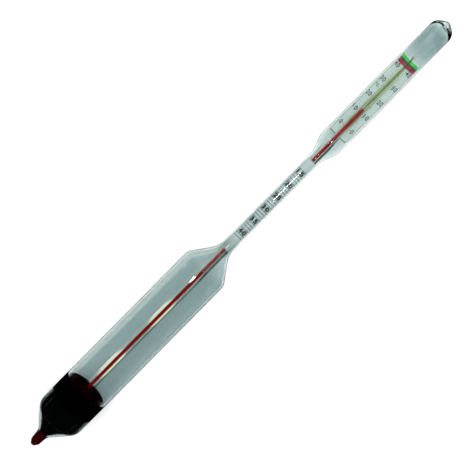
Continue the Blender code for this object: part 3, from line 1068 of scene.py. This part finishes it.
def printDensityScale(values):
    step = (values["fifteen"] - values["forty"]) / 25
    lines, numbers = [], []
    for reading in range(values["low"], values["high"] + 1):
        station = values["forty"] + (40 - reading) * step
        if reading % 5 == 0:
            for side in (-1, 1):
                lines.append(drawLine(station, side * values["edgeFrom"], side * values["lineHalf"],
                                      values["lineWidth"]))
            numbers.append(writeText(str(reading), station, 0, values["numberHigh"],
                                     values["numberWide"], values["bold"]))
        else:
            lines.append(drawLine(station, -values["lineHalf"], values["lineHalf"], values["lineWidth"]))
    printOn(lines, "densityLines", rollPlace, values)
    printOn(numbers, "densityNumbers", rollPlace, values)


def markReach(reading, values):
    if reading % 10 == 0:
        return values["long"]
    return values["middle"] if reading % 5 == 0 else values["short"]


def printTemperatureScale(values):
    step = (values["forty"] - values["zero"]) / 40
    lines, numbers = [], []
    for reading in range(values["low"], values["high"] + 1):
        station = values["zero"] + reading * step
        reach = markReach(reading, values)
        wide = values["zeroWide"] if reading == 0 else values["numberWide"]
        for side in (-1, 1):
            lines.append(drawLine(station, side * values["inner"], side * reach, values["lineWidth"]))
            if reading % 10 == 0:
                numbers.append(writeText(str(reading), station, side * values["numberAt"],
                                         values["numberHigh"], wide, values["bold"]))
    numbers.append(writeText("°C", values["signAt"], values["numberAt"], values["signHigh"],
                             values["signWide"], values["bold"]))
    # painted shade in the print's ink: a dark line across the card's foot
    start, end = endsOf("temperature_scale")
    rim = cardSet["halfWidth"] - values["rimIn"]
    lines.append(drawLine(start + values["footIn"], -rim, rim, values["foot"]))
    # painted shade in the print's ink: a dark line in the gap between the red and green bands
    half = bandSet["halfWidth"]
    bandGapShade = drawLine(bandSet["lineAt"], -half, half, bandSet["lineWidth"])
    printOn([bandGapShade], "bandGapShade", cardPlace, {"lift": bandSet["lineLift"], "film": values["film"]})
    # painted shade in the print's ink along each long edge of the card
    for side in (-1, 1):
        lines.append(drawEdge(start + values["endIn"], end - values["endIn"], side * rim,
                              values["edgeShadeWidth"]))
    printOn(lines, "temperatureLines", cardPlace, values)
    printOn(numbers, "temperatureNumbers", cardPlace, values)


printDensityScale(densityPrint)
printTemperatureScale(temperaturePrint)
print("scales printed")

# floor, world and lamps

studioSet = {
    "floorColour": (0.90, 0.90, 0.90), "floorSize": 8.0,
    "room": (0.32, 0.33, 0.33),
    "wallPlace": (1.2, 0.0, 0.4), "wallSize": 3.0, "wallGlow": 0.5,
    "panelStation": 288.0, "panelSize": 0.2, "panelGlow": 0.7,
    # from that station: along, across, and the height over the floor
    "panelPlaces": ((0.0, 0.12, 0.07), (0.0, -0.12, 0.07), (0.22, 0.0, 0.3)),
    "keyPower": 26.0, "keySize": 2.2, "keyPlaces": ((-0.5, 0.7, 1.5), (0.6, -0.5, 1.5)),
    "sparkAt": 116.0, "sparkRise": 0.2, "sparkAway": 1.2, "sparkSize": 0.025, "sparkPower": 0.035,
    # each glint: station, length, how far aside the lamp hangs, its width
    "glints": ((176.5, 21.0, 0.0, 34.0), (113.8, 4.0, 0.052, 33.0)), "glintGlow": 50.0,
    "flagReach": 0.4, "flagNear": 20.0, "flagAside": 20.0, "flagTo": 22.0, "flagLift": 0.0004,
}


def makeFloor(values):
    leaveSelection()
    bpy.ops.mesh.primitive_plane_add(size=values["floorSize"])
    floor = bpy.context.object
    floor.name = "paleFloor"
    look, _, shader = newLook("paleFloorPaint")
    shader.inputs["Base Color"].default_value = (*values["floorColour"], 1)
    shader.inputs["Roughness"].default_value = 0.9
    shader.inputs["Specular IOR Level"].default_value = 0.1
    floor.data.materials.append(look)
    floor.visible_glossy = False


def makeWorld(values):
    world = bpy.data.worlds.new("studio")
    bpy.context.scene.world = world
    world.use_nodes = True
    world.node_tree.nodes["Background"].inputs["Color"].default_value = (*values["room"], 1)
    # the pale room lights the papers but leaves no haze on the glass
    world.cycles_visibility.glossy = False
    world.cycles_visibility.transmission = False


def hangLight(name, place, size, power, shape="SQUARE"):
    bpy.ops.object.light_add(type="AREA", location=place)
    light = bpy.context.object
    light.name = name
    light.data.shape = shape
    light.data.size = size
    light.data.energy = power
    return light


def aimLight(light, target=(0, 0, 0)):
    away = light.location - Vector(target)
    light.rotation_euler = away.to_track_quat("Z", "Y").to_euler()


def makeKeyLights(values):
    for place in values["keyPlaces"]:
        key = hangLight("keyLight", place, values["keySize"], values["keyPower"], "DISK")
        aimLight(key)
        key.visible_glossy = False
        key.visible_transmission = False


def makeWallLight(values):
    # a pale wall beyond the head, seen only in the glass
    size = values["wallSize"]
    wall = hangLight("wallLight", values["wallPlace"], size, values["wallGlow"] * math.pi * size ** 2)
    wall.visible_camera = False
    aimLight(wall)


def makePanelLights(values):
    # dim panels round the head's end, seen only through its thick glass
    size, x = values["panelSize"], at(values["panelStation"])
    power = values["panelGlow"] * math.pi * size ** 2
    for along, across, height in values["panelPlaces"]:
        panel = hangLight("panelLight", (x + along, across, height), size, power)
        aimLight(panel, (x, 0, axisZ))
        panel.visible_camera = False
        panel.visible_diffuse = False
        panel.visible_glossy = False


def makeGlintLights(values):
    # small lamps at the camera's height, each glinting at a station for a length
    camera = bpy.context.scene.camera.location
    for station, length, aside, wide in values["glints"]:
        power = values["glintGlow"] * math.pi * 2 * length * wide * mm ** 2
        place = (2 * at(station) - camera.x, aside, camera.z)
        glint = hangLight("glintLight", place, 2 * length * mm, power, "RECTANGLE")
        glint.data.size_y = wide * mm
        glint.visible_diffuse = False


def makeSparkLights(values):
    # two low lamps, one to each side, that glint in the body's shoulder
    cameraX = bpy.context.scene.camera.location.x
    away = values["sparkAway"]
    x = at(values["sparkAt"]) + (at(values["sparkAt"]) - cameraX) * away / cameraSet["height"]
    for side in (-1, 1):
        place = (x, side * away, axisZ + values["sparkRise"])
        spark = hangLight("sparkLight", place, values["sparkSize"], values["sparkPower"], "DISK")
        aimLight(spark)


def makeFlags(values):
    # dark cards on the floor round the bulb, which only the glass can see
    look, _, shader = newLook("flagCloth")
    shader.inputs["Base Color"].default_value = (0.002, 0.002, 0.002, 1)
    shader.inputs["Specular IOR Level"].default_value = 0.0
    reach, aside = values["flagReach"], values["flagAside"] * mm
    near, far = at(-values["flagNear"]), at(values["flagTo"])
    cards = [(near - reach, near, -reach, reach), (near, far, aside, reach), (near, far, -reach, -aside)]
    for x0, x1, y0, y1 in cards:
        centre = ((x0 + x1) / 2, (y0 + y1) / 2, values["flagLift"])
        bpy.ops.mesh.primitive_plane_add(size=1, location=centre)
        card = bpy.context.object
        card.name = "darkFlag"
        card.scale = (x1 - x0, y1 - y0, 1)
        bpy.ops.object.transform_apply(location=True, rotation=True, scale=True)
        card.data.materials.append(look)
        card.visible_camera = False
        card.visible_diffuse = False
        card.visible_shadow = False


leaveSelection()
makeFloor(studioSet)
makeFlags(studioSet)
makeWorld(studioSet)
makeKeyLights(studioSet)
makeWallLight(studioSet)
makePanelLights(studioSet)
makeGlintLights(studioSet)
makeSparkLights(studioSet)
bpy.context.scene.view_settings.view_transform = "Standard"
print("studio lit")
